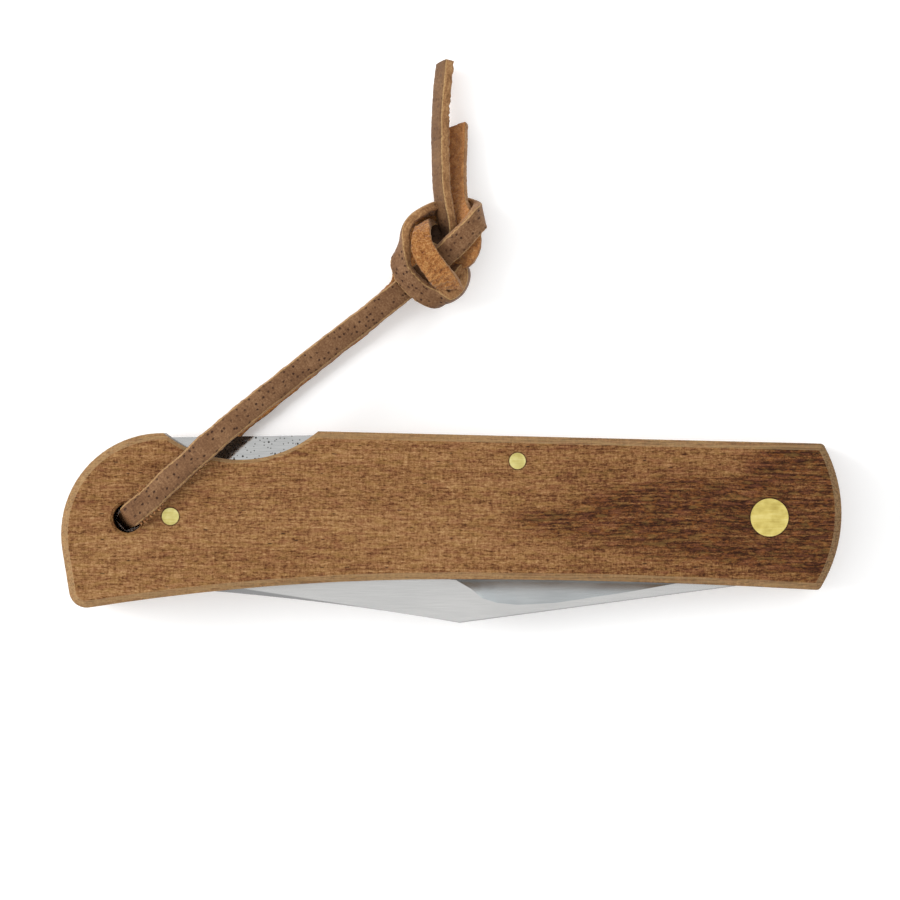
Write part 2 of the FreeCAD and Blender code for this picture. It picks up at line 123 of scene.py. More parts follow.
FRONT_LACE = [
    # out of the hole and along the front scale
    stop(along(-0.95, 0.0), BACK, 0.7),
    stop(along(-0.3, 3.6), BACK, 0.78),
    stop(along(0.5, 6.3), BACK, 0.9),
    stop(along(0.5, 7.95), BACK_UP),
    stop(along(2.8, 7.97), UP),
    stop(along(5.5, 7.85, 0.15), UP),
    stop(along(9.0, 7.77, 0.35), UP),
    stop(along(20.0, 8.2, 0.75), UP),
    stop(along(34.0, 2.72, 0.45), UP),
    # under the knot's ring and up across its middle
    stop((-7.01, 33.54, -3.9), UP),
    stop((-3.31, 36.58, -3.0), UP),
    stop((-1.04, 38.54, -1.9), (0.15, -0.15, 0.97)),
    stop((0.67, 40.08, -1.2), (0.15, -0.15, 0.97)),
    stop((2.66, 42.13, -0.9), (0.15, -0.1, 0.98)),
    # folded over at the upper right and back behind the tails
    stop((4.0, 43.69, -0.8), (0.6, 0.1, 0.78)),
    stop((4.05, 44.5, -5.0), (0.6, 0.2, -0.75)),
    stop((1.81, 45.4, -6.6), (0, 0.1, -1)),
    stop((-0.75, 45.5, -6.4), (0, 0.5, -0.86)),
    # round the ring, by the left and the bottom
    stop((-2.89, 45.32, -5.0), (-0.1, 0.95, -0.3)),
    stop((-4.38, 44.72, -4.1), (-0.45, 0.88, 0)),
    stop((-5.73, 43.64, -3.6), (-0.75, 0.65, 0)),
    stop((-6.51, 42.34, -3.2), (-0.95, 0.25, 0.05)),
    stop((-6.65, 40.9, -2.9), (-0.99, 0.15, 0.1), 0.95),
    stop((-6.95, 39.18, -2.3), (-0.9, 0.05, 0.44), 0.9),
    stop((-7.35, 37.33, -1.8), (-0.42, -0.05, 0.9), 0.86),
    stop((-6.57, 35.48, -1.6), (-0.3, -0.2, 0.93), 0.88),
    stop((-4.7, 33.6, -1.6), (-0.2, -0.35, 0.91), 0.9),
    stop((-2.6, 32.45, -2.0), (0, -0.5, 0.86), 0.95),
    stop((-0.47, 32.37, -2.5), (0.3, -0.95, 0.1)),
    stop((0.81, 33.17, -3.0), (0.7, -0.7, 0.05)),
    stop((1.67, 34.4, -3.9), (0.95, -0.3, 0.05)),
    stop((2.03, 35.99, -4.9), (0.98, 0.1, 0.1)),
    # hidden inside the ring
    stop((1.67, 37.13, -5.2), (0.7, 0.7, 0.1)),
    stop((0.67, 37.11, -4.4), (-0.4, 0.8, 0.4)),
    stop((-0.18, 35.96, -4.0), (-0.8, 0.1, 0.6)),
    stop((-0.18, 34.39, -3.6), (-0.3, 0.2, 0.9)),
    stop((0.1, 33.65, -2.4), (-0.2, 0.95, 0.2)),
    # over the top, flesh side out
    stop((-0.55, 34.75, -0.4), (0.1, 0.6, -0.75), 1.02),
    stop((-1.8, 36.1, 0.4), (0.2, 0.1, -0.97), 1.02),
    stop((-3.2, 37.77, 0.45), (0.1, 0, -1)),
    stop((-4.1, 39.6, 0.3), (0.1, 0, -1), 0.95),
    stop((-4.25, 41.1, -0.1), (0.15, -0.1, -0.97), 0.8),
    # down inside and out as the long tail
    stop((-3.95, 42.3, -0.9), (0.3, -0.5, -0.8), 0.62),
    stop((-4.0, 42.9, -4.2), (0.4, -0.8, 0.3), 0.75),
    stop((-3.0, 42.2, -5.3), (0.2, -0.3, 0.93), 0.85),
    stop((-1.8, 41.2, -5.2), (0, 0.5, 0.86)),
    stop((-0.6, 41.0, -4.4), (-0.6, 0.6, 0.5)),
    stop((-0.55, 42.9, -3.5), (-0.82, 0, 0.55)),
    stop((-1.4, 47.2, -3.2), TAIL_FACE),
    stop((-1.65, 53.63, -3.9), TAIL_FACE),
    stop((-1.61, 60.08, -5.0), TAIL_FACE),
    stop((-0.97, 66.06, -5.5), TAIL_FACE),
]

REAR_LACE = [
    # out of the hole and along under the rear scale
    stop(along(-0.95, 0.0), BACK, 0.7),
    stop(along(-0.3, -3.6), BACK, 0.78),
    stop(along(0.15, -6.3), BACK, 0.9),
    stop(along(0.2, -7.95), BACK_DOWN),
    stop(along(2.6, -7.97), DOWN),
    stop(along(5.5, -7.8), DOWN),
    stop(along(9.0, -7.65), DOWN),
    stop(along(20.0, -7.52, 0.7), DOWN),
    stop(along(34.0, -7.17, 0.45), DOWN),
    stop(along(49.0, -6.3), DOWN),
    # round under the ring, flesh side up, and out as the short tail
    stop((-6.75, 34.74, -6.6), DOWN),
    stop((-6.46, 37.74, -6.6), DOWN),
    stop((-5.46, 40.88, -6.7), DOWN),
    stop((-3.47, 43.24, -6.8), DOWN),
    stop((-1.18, 42.74, -6.7), DOWN),
    stop((-0.4, 40.44, -6.3), DOWN),
    stop((0.24, 38.28, -5.4), (0.1, -0.2, -0.97)),
    stop((1.6, 38.09, -3.6), (0.15, -0.2, -0.95)),
    stop((2.7, 39.69, -2.4), (0.2, -0.1, -0.95)),
    stop((2.77, 41.33, -2.6), (0.3, 0.1, -0.95)),
    stop((1.81, 43.48, -3.2), (0.5, 0, -0.85)),
    stop((0.88, 45.63, -4.2), SHORT_FACE),
    stop((0.6, 48.34, -4.9), SHORT_FACE),
    stop((0.58, 52.21, -5.5), SHORT_FACE),
    stop((0.8, 56.93, -5.9), SHORT_FACE),
]

# The lace's cross-section, across and up from its line, with the side each stretch belongs to
GRAIN, EDGE, FLESH = 0, 1, 2
GRAIN_PROFILE = ((-1.60, 0.47), (-1.50, 0.59), (-0.8, 0.66), (0.0, 0.68), (0.8, 0.66), (1.50, 0.59))
RIGHT_PROFILE = ((1.60, 0.47), (1.68, 0.1), (1.72, -0.35))
LEFT_PROFILE = ((-1.68, -0.58), (-1.72, -0.35), (-1.68, 0.1))
FLESH_HALF, FLESH_STEP, FLESH_COUNT = 1.68, 0.28, 12
FLESH_DEPTH = -0.62
FLESH_PROFILE = [(FLESH_HALF - FLESH_STEP * step, FLESH_DEPTH) for step in range(FLESH_COUNT)]
SECTION = [
    (b, n, kind)
    for profile, kind in (
        (GRAIN_PROFILE, GRAIN), (RIGHT_PROFILE, EDGE), (FLESH_PROFILE, FLESH), (LEFT_PROFILE, EDGE))
    for b, n in profile]

# The spline along a route: its points per stop, and its order
LINE_STEPS = 24
LINE_ORDER = 3

# How far the edges sway and fray and the flesh side's nap stands up, and the lengths over which they change
SWAY, SWAY_PITCH = 0.16, 3.4
FRAY, FRAY_PITCH = 0.13, 0.5
NAP, NAP_PITCH = 0.28, 0.42
FLAT_HALF = 1.4

# Each lace's seed, and how far apart the seeds set the runs that the materials see
FRONT_SEED, REAR_SEED = 1.0, 2.0
SEED_STEP = 250.0

# How far each tail's cut end slants, per millimetre across the lace and through it
LONG_CUT = (0.19, 0.15)
SHORT_CUT = (-0.31, -0.31)
CUT_REACH = 3.0

# Loose fibres near the hole: run along the lace, edge, and how far each reaches out and leans along
FIBRES = (
    (8.3, 1, 0.5, -0.3), (8.8, 1, 0.75, 0.2), (9.3, 1, 0.6, -0.35), (9.9, 1, 0.8, 0.4),
    (10.6, 1, 0.55, -0.2), (11.2, 1, 0.85, 0.4), (11.6, 1, 0.7, -0.4), (12.2, 1, 0.5, 0.35),
    (17.6, 1, 0.45, 0.5), (18.4, 1, 0.6, 0.6), (19.1, 1, 0.5, 0.7), (20.3, 1, 0.45, 0.8),
    (11.0, -1, 0.6, -0.3), (11.4, -1, 0.7, 0.3), (12.0, -1, 0.5, 0.4))

# A fibre's root across and up, its half thickness there and at its bend, and where the bend is
FIBRE_ROOT = (1.6, 0.0)
FIBRE_ROOT_HALF = 0.16
FIBRE_BEND_HALF = 0.12
FIBRE_BEND_SHARE = 0.6
FIBRE_RISE = 0.3


def lace_line(name, route):
    """The points of the route's smooth spline, in millimetres."""
    curve = bpy.data.curves.new(name, "CURVE")
    curve.dimensions = "3D"
    curve.resolution_u = LINE_STEPS
    spline = curve.splines.new("NURBS")
    spline.points.add(len(route) - 1)
    for point, (place, facing, width) in zip(spline.points, route):
        point.co = (*(v * MM for v in place), 1.0)
    spline.order_u = LINE_ORDER
    spline.use_endpoint_u = True
    spline.resolution_u = LINE_STEPS
    holder = add_object(name, curve)
    mesh = bpy.data.meshes.new_from_object(holder)
    points = np.array([v.co for v in mesh.vertices]) / MM
    bpy.data.meshes.remove(mesh)
    bpy.data.objects.remove(holder)
    bpy.data.curves.remove(curve)
    return points


def unit(rows):
    """Each row at length 1."""
    return rows / np.linalg.norm(rows, axis=1, keepdims=True)


def lace_facing(points, route):
    """At each point the line's direction, the grain side's normal square to it, and the width's share."""
    count = len(route)
    knots = np.array([0.0] + [i - 0.5 for i in range(1, count - 1)] + [count - 2.0])
    spots = np.linspace(0.0, count - 2.0, len(points))
    wanted = unit(np.array([facing for place, facing, width in route], float))
    normals = np.stack([np.interp(spots, knots, wanted[:, axis]) for axis in range(3)], axis=1)
    tangents = unit(np.gradient(points, axis=0))
    normals -= tangents * np.sum(normals * tangents, axis=1, keepdims=True)
    widths = np.interp(spots, knots, [width for place, facing, width in route])
    return tangents, unit(normals), widths


def shake(size, x, y, seed):
    """A smooth random length, at most size either way, the same on each run."""
    return size * noise.noise(Vector((x, y, seed)))


def run_mark(seed, run):
    """A place along a lace as its materials count it, with a range of its own for each lace."""
    return run + seed * SEED_STEP


def rough_section(run, share, seed):
    """The cross-section's points at a place along the lace, each with its rough place across and up."""
    for number, (b, n, kind) in enumerate(SECTION):
        wide, high = b * share, n
        if abs(b) > FLAT_HALF:
            edge = math.copysign(1.0, b)
            wide += edge * shake(SWAY, run / SWAY_PITCH, edge, seed)
            wide += edge * shake(FRAY, run / FRAY_PITCH, number, seed)
        if kind == FLESH:
            high += shake(NAP, run / NAP_PITCH, b / NAP_PITCH, seed)
        yield b, n, wide, high


def skin_lace(mesh, rings):
    """Faces from each ring to the next, and over both ends."""
    for ring, after in zip(rings, rings[1:]):
        for number, (b, n, kind) in enumerate(SECTION):
            other = (number + 1) % len(SECTION)
            face = mesh.faces.new((ring[number], ring[other], after[other], after[number]))
            face.material_index = kind
            face.smooth = True
    for ring in (rings[0], rings[-1]):
        mesh.faces.new(ring).material_index = EDGE


def add_fibre(mesh, lace_at, fibre, seed, point, tangent, normal, side):
    """One loose fibre, a thin bent spike."""
    run, edge, reach, lean = fibre
    out = side * edge
    root = point + out * FIBRE_ROOT[0] + normal * FIBRE_ROOT[1]
    bend = root + out * reach * FIBRE_BEND_SHARE + normal * FIBRE_RISE

    def corner(place):
        vert = mesh.verts.new(place * MM)
        vert[lace_at] = (edge * FIBRE_ROOT[0], run_mark(seed, run), FIBRE_ROOT[1])
        return vert

    base, middle = [
        [corner(centre + step * half) for step in (tangent, -tangent, normal)]
        for centre, half in ((root, FIBRE_ROOT_HALF), (bend, FIBRE_BEND_HALF))]
    tip = corner(root + (out * reach + tangent * lean))
    for one, two in ((0, 1), (1, 2), (2, 0)):
        mesh.faces.new((base[one], base[two], middle[two], middle[one])).material_index = FLESH
        mesh.faces.new((middle[one], middle[two], tip)).material_index = FLESH
    mesh.faces.new(base).material_index = FLESH


def lace_mesh(name, route, seed, end_cut, fibres=()):
    """A flat leather lace along a route, with rough cut edges; also gives the line that it follows."""
    points = lace_line(name + "_line", route)
    tangents, normals, widths = lace_facing(points, route)
    across = np.cross(tangents, normals)
    runs = np.concatenate([[0.0], np.cumsum(np.linalg.norm(np.diff(points, axis=0), axis=1))])
    mesh = bmesh.new()
    lace_at = mesh.verts.layers.float_vector.new("lace")
    rings = []
    for point, tangent, normal, side, share, run in zip(points, tangents, normals, across, widths, runs):
        slant = max(0.0, 1.0 - (runs[-1] - run) / CUT_REACH)
        ring = []
        for b, n, wide, high in rough_section(run, share, seed):
            ahead = slant * (end_cut[0] * wide + end_cut[1] * high)
            vert = mesh.verts.new((point + side * wide + normal * high + tangent * ahead) * MM)
            vert[lace_at] = (b, run_mark(seed, run), n)
            ring.append(vert)
        rings.append(ring)
    skin_lace(mesh, rings)
    for fibre in fibres:
        spot = int(np.searchsorted(runs, fibre[0]))
        add_fibre(mesh, lace_at, fibre, seed, points[spot], tangents[spot], normals[spot], across[spot])
    bmesh.ops.recalc_face_normals(mesh, faces=mesh.faces)
    data = bpy.data.meshes.new(name)
    mesh.to_mesh(data)
    mesh.free()
    return add_object(name, data), points * MM


thong_front, front_line = lace_mesh("thong_front", FRONT_LACE, FRONT_SEED, LONG_CUT, FIBRES)
thong_rear, rear_line = lace_mesh("thong_rear", REAR_LACE, REAR_SEED, SHORT_CUT)

for piece in (thong_front, thong_rear):
    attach(piece, "handle")
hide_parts("thong_front_strand", "thong_knot", "thong_long_tail")
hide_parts("thong_rear_strand", "thong_short_tail")
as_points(front_line)
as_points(rear_line)


# Materials, all from nodes

# The light on the floor, as a share of what shows as white
FLOOR_LIGHT = 1.3
WHITE = (1, 1, 1, 1)

# The middle of a signal, a colour ramp or a relief
MIDDLE = 0.5

# The sockets of a mix node that hold its share, its two colours and its result
MIX_SHARE, MIX_FIRST, MIX_SECOND, MIX_RESULT = 0, 6, 7, 2


def linear(level):
    """A level of the picture, 0 to 255, as light, by the sRGB curve."""
    if level <= 10:
        return level / 255 / 12.92
    return ((level / 255 + 0.055) / 1.055) ** 2.4


def tint(red, green, blue):
    """The surface colour that shows as this colour of the picture, in light that makes the floor white."""
    return (*(linear(level) / FLOOR_LIGHT for level in (red, green, blue)), 1.0)


def metal_tint(red, green, blue):
    """The colour of a metal that shows as this colour of the picture where it mirrors white."""
    return (*(v * FLOOR_LIGHT for v in tint(red, green, blue)[:3]), 1.0)


class Nodes:
    """A tree that nodes are added to one after another."""

    def __init__(self, tree):
        self.tree = tree

    def feed(self, socket, value):
        """Sets a socket's value, or links it to another socket."""
        if isinstance(value, bpy.types.NodeSocket):
            self.tree.links.new(value, socket)
        else:
            socket.default_value = value

    def add(self, kind, inputs, output=0, **settings):
        """A new node with these inputs and settings; gives one of its outputs."""
        node = self.tree.nodes.new(kind)
        for setting, value in settings.items():
            setattr(node, setting, value)
        for socket, value in inputs.items():
            self.feed(node.inputs[socket], value)
        return node.outputs[output]

    def math(self, operation, first, second=0.0):
        """One operation on one or two numbers."""
        return self.add("ShaderNodeMath", {0: first, 1: second}, operation=operation)

    def line(self, value, slope, start):
        """start plus slope times value."""
        return self.add("ShaderNodeMath", {0: value, 1: slope, 2: start}, operation="MULTIPLY_ADD")

    def span(self, value, low, high, start=0.0, end=1.0):
        """value between low and high as a smooth step between start and end."""
        return self.add(
            "ShaderNodeMapRange", {0: value, 1: low, 2: high, 3: start, 4: end},
            interpolation_type="SMOOTHSTEP")


class Shader(Nodes):
    """A material and its surface."""

    SOCKETS = {
        "colour": "Base Color", "rough": "Roughness", "metal": "Metallic", "gloss": "Specular IOR Level",
        "sheen": "Sheen Weight", "glow": "Emission Strength", "glow_colour": "Emission Color"}

    def __init__(self, name):
        self.material = bpy.data.materials.new(name)
        self.material.use_nodes = True
        super().__init__(self.material.node_tree)
        self.surface = self.tree.nodes["Principled BSDF"]

    def places(self):
        """Where a point is on the part, in millimetres."""
        return self.scale(self.add("ShaderNodeTexCoord", {}, "Object"), (1 / MM, 1 / MM, 1 / MM))

    def scale(self, vector, sizes):
        """A vector times a size each way."""
        return self.add("ShaderNodeVectorMath", {0: vector, 1: sizes}, operation="MULTIPLY")

    def shift(self, vector, move):
        """A vector moved by another."""
        return self.add("ShaderNodeVectorMath", {0: vector, 1: move}, operation="ADD")

    def parts(self, vector):
        """A vector's x, y and z, or a colour's red, green and blue."""
        node = self.tree.nodes.new("ShaderNodeSeparateXYZ")
        self.feed(node.inputs[0], vector)
        return node.outputs

    def join(self, x, y, z):
        """The vector of an x, a y and a z."""
        return self.add("ShaderNodeCombineXYZ", {0: x, 1: y, 2: z})

    def noise(self, vector, sizes, detail=2.0, roughness=0.5):
        """Smooth noise with this many spots per millimetre each way."""
        return self.add(
            "ShaderNodeTexNoise",
            {"Vector": self.scale(vector, sizes), "Scale": 1.0, "Detail": detail, "Roughness": roughness})

    def cells(self, vector, sizes, dimensions="3D"):
        """Distance from the nearest of many scattered spots, and a number of its own for each spot."""
        node = self.tree.nodes.new("ShaderNodeTexVoronoi")
        node.voronoi_dimensions = dimensions
        self.feed(node.inputs["Vector"], self.scale(vector, sizes))
        node.inputs["Scale"].default_value = 1.0
        lot = self.parts(node.outputs["Color"])[0]
        return node.outputs["Distance"], lot

    def spots(self, gap, lot, radii, rarity):
        """1 inside the spots whose number is past rarity, fading to 0 from one radius to the other."""
        return self.math("MULTIPLY", self.span(gap, *radii, 1.0, 0.0), self.span(lot, *rarity))

    def sum(self, base, *terms):
        """base plus each signal, taken about its middle, times its weight."""
        total = base
        for signal, weight in terms:
            total = self.math("ADD", self.line(signal, weight, -weight * MIDDLE), total)
        return total

    def distance(self, flat, spot):
        """How far a place is from the axis through a spot."""
        return self.add("ShaderNodeVectorMath", {0: flat, 1: (*spot, 0.0)}, "Value", operation="DISTANCE")

    def slope(self):
        """How far the surface faces straight up or down: 1 on the flat faces, 0 on upright walls."""
        return self.math("ABSOLUTE", self.parts(self.add("ShaderNodeTexCoord", {}, "Normal"))[2])

    def ramp(self, value, stops):
        """The colour at value between stops, each a place and a colour."""
        node = self.tree.nodes.new("ShaderNodeValToRGB")
        self.feed(node.inputs[0], value)
        elements = node.color_ramp.elements
        while len(elements) < len(stops):
            elements.new(MIDDLE)
        for element, (place, colour) in zip(elements, stops):
            element.position = place
            element.color = colour
        return node.outputs[0]

    def mix(self, share, first, second, blend="MIX"):
        """The first colour with a share of the second over it."""
        node = self.tree.nodes.new("ShaderNodeMix")
        node.data_type = "RGBA"
        node.blend_type = blend
        self.feed(node.inputs[MIX_SHARE], share)
        self.feed(node.inputs[MIX_FIRST], first)
        self.feed(node.inputs[MIX_SECOND], second)
        return node.outputs[MIX_RESULT]

    def bump(self, height, depth, strength=1.0):
        """Relief of a height signal from 0 to 1 that is depth millimetres deep."""
        self.feed(self.surface.inputs["Normal"], self.add(
            "ShaderNodeBump", {"Height": height, "Distance": depth * MM, "Strength": strength}))

    def set(self, **sockets):
        """Sets or links the surface's sockets, and gives the material."""
        for name, value in sockets.items():
            self.feed(self.surface.inputs[self.SOCKETS[name]], value)
        return self.material


# Wood

# The pivot, rocker and rear pins: centre and radius; and the dark line round each, partly painted shadow of
# the gap round the pin and partly oil stain, by the gap from the radius
PINS = (((44.8, 1.409), 2.675), ((9.324, 9.372), 1.15), ((-39.55, 1.56), 1.2))
PIN_LINE_GAPS = (0.05, 0.3)
PIN_SHADOW_AND_STAIN_SHARE = 0.65
PIN_SHADOW_AND_STAIN_COLOUR = tint(50, 30, 16)

# The dark heartwood: slope and start of its middle line and of its half width, and where it ends
HEART_MIDDLE = (0.05, 0.3)
HEART_HALF = (0.24, -1.4)
HEART_RAGGED = 9.0
HEART_EDGE = (-1.2, 2.0)
HEART_TOP = (6.0, 8.0)
HEAD_START = (39.0, 45.0)

# Noises: spots per millimetre along and across the grain, detail and roughness
LIFT = ((0.02, 0.05, 0.05), 1.0)
FLECK = ((1.3, 4.4, 4.4), 2.0, 0.65)
STREAK = ((0.16, 3.0, 3.0), 3.0, 0.6)
BROAD = ((0.03, 0.42, 0.42), 2.0)
TICKS = ((3.4, 0.8, 0.8), 2.0, 0.6)
DASH = ((0.13, 3.3, 3.3), 3.0, 0.6)
GRIT = ((4.4, 5.2, 5.2), 1.0)
WARM = ((1.1, 3.4, 3.4), 2.0, 0.6)
HUE = ((0.45, 1.7, 1.7), 3.0, 0.6)
BEVEL_LINES = ((0.06, 4.6, 4.6), 3.0, 0.6)
GRAIN_LIFT = 3.0
OTHER_GRAIN = (31.0, 17.0, 5.0)

# Colours from dark to light, the level about which they vary, and what darkens it
WOOD_COLOURS = [
    (0.0, tint(46, 19, 6)), (0.28, tint(92, 54, 27)), (0.55, tint(141, 99, 60)),
    (0.8, tint(172, 130, 86)), (1.0, tint(194, 154, 108))]
WOOD_LEVEL = 0.56
HEADWARD = (2.0, 22.0)
HEAD_DARKER = 0.1
HEART_DARKER = 0.16
DASH_LEVELS = (0.47, 0.58)
DASH_DARKER = 0.33

# Patches of other hues: the noise's levels between which each comes in, and its share
WARM_LEVELS = (0.5, 0.66)
WARM_IN_HEART, WARM_ELSEWHERE = 0.22, 0.12
WARM_COLOUR = tint(160, 98, 46)
REDDISH_LEVELS = (0.5, 0.68)
REDDISH_COLOUR = tint(138, 84, 60)
YELLOWISH_LEVELS = (0.32, 0.5)
YELLOWISH_COLOUR = tint(160, 124, 68)
HUE_SHARE = 0.3

# Pores
PORE_PITCH = (0.55, 2.3, 2.3)
PORE_RAGGED = 0.3
PORE_RADII = (0.1, 0.26)
PORE_RARITY = (0.93, 0.95)
PORE_SHARE = 0.85
PORE_COLOUR = tint(44, 24, 14)

# The bevelled rim and the upright walls, by their slopes; the walls' dark colour is painted shade
BEVEL_SLOPES = (0.75, 0.95)
BEVEL_SHARE = 0.62
BEVEL_LINE_LEVELS = (0.38, 0.58)
BEVEL_LINE_LEAST = 0.35
BEVEL_COLOUR = tint(167, 138, 97)
HOLE_RIM = (2.5, 3.0)
WALL_SLOPES = (0.1, 0.4)
WALL_SHADE_SHARE = 0.55
WALL_SHADE_COLOUR = tint(58, 36, 22)

WOOD_RELIEF = 0.03
WOOD_ROUGH_LEVELS = (0.2, 0.8)
WOOD_ROUGH = (0.45, 0.62)


def dark_heart(s, x, y, broad):
    """How far a point is inside the dark heartwood, which widens towards the head."""
    middle = s.line(x, *HEART_MIDDLE)
    half = s.line(x, *HEART_HALF)
    depth = s.math("SUBTRACT", half, s.math("ABSOLUTE", s.math("SUBTRACT", y, middle)))
    depth = s.sum(depth, (broad, HEART_RAGGED))
    below_rim = s.math("MAXIMUM", s.span(y, *HEART_TOP, 1.0, 0.0), s.span(x, *HEAD_START))
    return s.math("MULTIPLY", s.span(depth, *HEART_EDGE), below_rim)


def wood_hues(s, other, heart, colour):
    """Warm patches, most of them in the heartwood, and reddish and yellowish ones."""
    share = s.line(heart, WARM_IN_HEART, WARM_ELSEWHERE)
    warm = s.math("MULTIPLY", s.span(s.noise(other, *WARM), *WARM_LEVELS), share)
    colour = s.mix(warm, colour, WARM_COLOUR)
    hue = s.noise(other, *HUE)
    colour = s.mix(s.span(hue, *REDDISH_LEVELS, 0.0, HUE_SHARE), colour, REDDISH_COLOUR)
    return s.mix(s.span(hue, *YELLOWISH_LEVELS, HUE_SHARE, 0.0), colour, YELLOWISH_COLOUR)


def wood_rim(s, grain, flat, colour):
    """A paler bevel with lines along the grain, painted shade on the upright walls, and a dark line round
    each pin that is partly painted shadow and partly oil stain.
    """
    slope = s.slope()
    lines = s.span(s.noise(grain, *BEVEL_LINES), *BEVEL_LINE_LEVELS, BEVEL_LINE_LEAST, 1.0)
    bevel = s.math("MULTIPLY", s.span(slope, *BEVEL_SLOPES, BEVEL_SHARE, 0.0), lines)
    bevel = s.math("MULTIPLY", bevel, s.span(s.distance(flat, HOLE), *HOLE_RIM))
    colour = s.mix(bevel, colour, BEVEL_COLOUR)
    # Painted shade: the upright walls are darkened
    colour = s.mix(s.span(slope, *WALL_SLOPES, WALL_SHADE_SHARE, 0.0), colour, WALL_SHADE_COLOUR)
    # Round each pin a dark line, partly painted shadow of the gap and partly oil stain
    for pin, radius in PINS:
        near, far = (radius + gap for gap in PIN_LINE_GAPS)
        shade = s.span(s.distance(flat, pin), near, far, PIN_SHADOW_AND_STAIN_SHARE, 0.0)
        colour = s.mix(shade, colour, PIN_SHADOW_AND_STAIN_COLOUR)
    return colour


def make_wood():
    """Oiled hardwood: flecked, with dark heartwood towards the head, ray ticks, pores and a paler rim."""
    s = Shader("scale_wood_oiled")
    place = s.places()
    x, y = s.parts(place)[:2]
    lift = s.math("MULTIPLY", s.noise(place, *LIFT), GRAIN_LIFT)
    grain = s.shift(place, s.join(0.0, lift, lift))
    other = s.shift(grain, OTHER_GRAIN)
    fleck = s.noise(grain, *FLECK)
    streak = s.noise(grain, *STREAK)
    broad = s.noise(grain, *BROAD)
    ticks = s.noise(grain, *TICKS)
    grit = s.noise(other, *GRIT)
    heart = dark_heart(s, x, y, broad)
    dash = s.sum(s.noise(other, *DASH), (ticks, 0.55), (fleck, 0.25))
    dashed = s.math("MULTIPLY", heart, s.span(dash, *DASH_LEVELS))
    value = s.sum(WOOD_LEVEL, (fleck, 1.15), (streak, 0.75), (broad, 0.35), (ticks, 0.6), (grit, 0.55))
    value = s.math("SUBTRACT", value, s.span(x, *HEADWARD, 0.0, HEAD_DARKER))
    value = s.line(heart, -HEART_DARKER, value)
    value = s.line(dashed, -DASH_DARKER, value)
    colour = wood_hues(s, other, heart, s.ramp(value, WOOD_COLOURS))
    gap, lot = s.cells(grain, PORE_PITCH)
    pores = s.spots(s.sum(gap, (fleck, PORE_RAGGED)), lot, PORE_RADII, PORE_RARITY)
    colour = s.mix(s.math("MULTIPLY", pores, PORE_SHARE), colour, PORE_COLOUR)
    colour = wood_rim(s, grain, s.join(x, y, 0.0), colour)
    relief = s.math("SUBTRACT", s.sum(MIDDLE, (fleck, 0.5), (streak, 0.4), (ticks, 0.3)), pores)
    s.bump(relief, WOOD_RELIEF, strength=0.5)
    return s.set(colour=colour, rough=s.span(fleck, *WOOD_ROUGH_LEVELS, *WOOD_ROUGH), gloss=0.1)


# Steel, brass and bronze

HAZE_LEVELS = (0.3, 0.7)


def marked_metal(name, marks, haze, weights, colours, relief, rough, strength=0.6):
    """A metal with fine marks in relief and a broad haze: its shader, its colour and its roughness."""
    s = Shader(name)
    place = s.places()
    fine = s.noise(place, *marks)
    broad = s.noise(place, *haze)
    colour = s.ramp(s.sum(MIDDLE, (fine, weights[0]), (broad, weights[1])), colours)
    s.bump(fine, relief, strength)
    return s, colour, s.span(broad, *HAZE_LEVELS, *rough)


# The corner where spine and clip meet, how each falls away from it along the blade, and their dark line, a
# painted reflection
SPINE_CORNER = (1.09, -13.66)
CLIP_FALL = 0.156
SPINE_FALL = 0.133
SPINE_LINE = (0.08, 0.3)
SPINE_REFLECTION_LINE_SHARE = 0.6
SPINE_REFLECTION_LINE_COLOUR = metal_tint(112, 112, 114)

# The slopes at the hollow grind's flat end and at its steep end, and those of the spine's upright wall; the
# grind's tint is a painted darker, cooler reflection, and the wall's colour is painted shade
HOLLOW_FLAT = (0.988, 0.999)
HOLLOW_STEEP = (0.7, 0.9)
HOLLOW_REFLECTION_TINT = (0.89, 0.95, 0.985, 1.0)
SPINE_SLOPES = (0.3, 0.7)
SPINE_WALL_SHADE_SHARE = 0.7
SPINE_WALL_SHADE_COLOUR = metal_tint(128, 129, 130)


def make_blade_steel():
    """Polished steel, lightly scratched along the blade, with a painted dark reflection line along spine and
    clip, painted shade on its upright walls and a painted darker, cooler reflection on the hollow grind.
    """
    s, colour, rough = marked_metal(
        "blade_steel_polished", marks=((0.25, 9.0, 9.0), 3.0, 0.6), haze=((0.12, 0.3, 0.3), 2.0),
        weights=(0.5, 0.3), colours=[(0.2, metal_tint(204, 204, 203)), (0.8, metal_tint(232, 231, 229))],
        relief=0.004, rough=(0.16, 0.26), strength=0.5)
    slope = s.slope()
    hollow = s.math("MULTIPLY", s.span(slope, *HOLLOW_FLAT, 1.0, 0.0), s.span(slope, *HOLLOW_STEEP))
    # Painted reflection: the hollow grind is tinted darker and cooler
    colour = s.mix(hollow, colour, HOLLOW_REFLECTION_TINT, "MULTIPLY")
    # Painted shade on the blade's upright walls
    colour = s.mix(s.span(slope, *SPINE_SLOPES, SPINE_WALL_SHADE_SHARE, 0.0), colour, SPINE_WALL_SHADE_COLOUR)
    x, y = s.parts(s.places())[:2]
    above = s.line(y, 1.0, -SPINE_CORNER[1])
    beside = s.line(x, 1.0, -SPINE_CORNER[0])
    inward = s.math("MINIMUM", s.line(beside, CLIP_FALL, above), s.line(beside, -SPINE_FALL, above))
    # Painted reflection: a dark line along spine and clip
    colour = s.mix(s.span(inward, *SPINE_LINE, SPINE_REFLECTION_LINE_SHARE, 0.0), colour, SPINE_REFLECTION_LINE_COLOUR)
    return s.set(colour=colour, metal=1.0, rough=rough)


